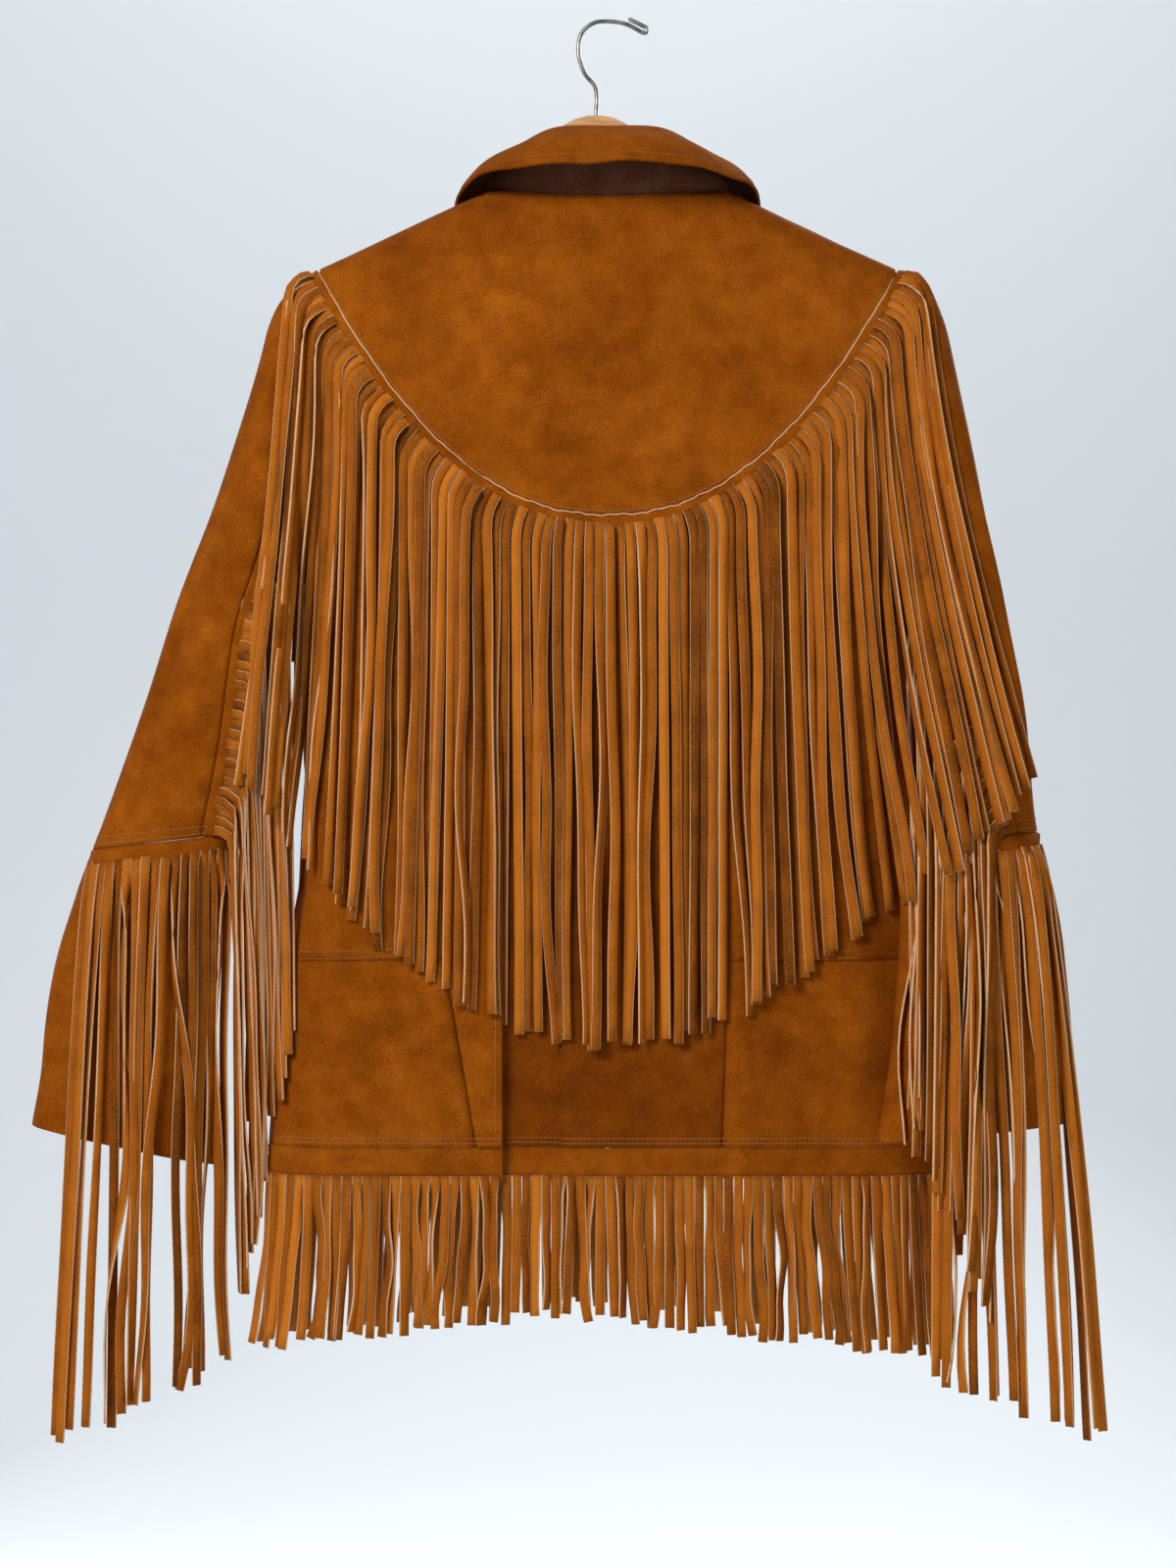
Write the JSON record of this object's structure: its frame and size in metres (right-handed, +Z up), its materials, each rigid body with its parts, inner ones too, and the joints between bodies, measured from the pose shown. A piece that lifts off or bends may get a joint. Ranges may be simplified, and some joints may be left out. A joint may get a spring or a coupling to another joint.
{
  "type": "fringed suede jacket on a wooden hanger",
  "caption": "Suede jacket with long fringe along its yokes, sleeves and hem, hanging open-necked on a plain wooden hanger with a bent wire hook.",
  "frame": {"origin": "inside of the top of the hanger's hook, where the rail or wall hook bears", "axes": "+Z up; the jacket's back faces -Y and its fronts face +Y; +X is to the right seen from behind"},
  "size_m": [0.7739, 0.1611, 1.0527],
  "materials": {
    "suede": "tan-brown suede, brushed nap with soft mottling",
    "fringe_suede": "the same suede cut into strands, with paler raw edges",
    "dark_suede": "dark chocolate-brown suede",
    "hanger_wood": "clear-varnished pale wood",
    "hook_steel": "bright drawn wire, slightly dulled"
  },
  "bodies": {
    "root": {"yoke_back": "suede", "back_centre_left": "suede", "back_centre_right": "suede", "back_side_left_upper": "suede", "back_side_left_lower": "suede", "back_side_right_upper": "suede", "back_side_right_lower": "suede", "front_yoke_left": "suede", "front_yoke_right": "suede", "front_left": "suede", "front_right": "suede", "top_sleeve_left": "suede", "under_sleeve_left": "suede", "lower_sleeve_left": "suede", "top_sleeve_right": "suede", "under_sleeve_right": "suede", "lower_sleeve_right": "suede", "collar_leaf": "suede", "hem_fringe_back_left": "fringe_suede", "hem_fringe_back_right": "fringe_suede", "hem_fringe_front_left": "fringe_suede", "hem_fringe_front_right": "fringe_suede", "elbow_fringe_left": "fringe_suede", "elbow_fringe_right": "fringe_suede", "sleeve_fringe_left": "fringe_suede", "sleeve_fringe_right": "fringe_suede", "yoke_fringe_back": "fringe_suede", "yoke_fringe_front_left": "fringe_suede", "yoke_fringe_front_right": "fringe_suede", "collar_stand": "dark_suede", "hanger_wood": "hanger_wood", "hanger_hook": "hook_steel"}
  },
  "joints": []
}
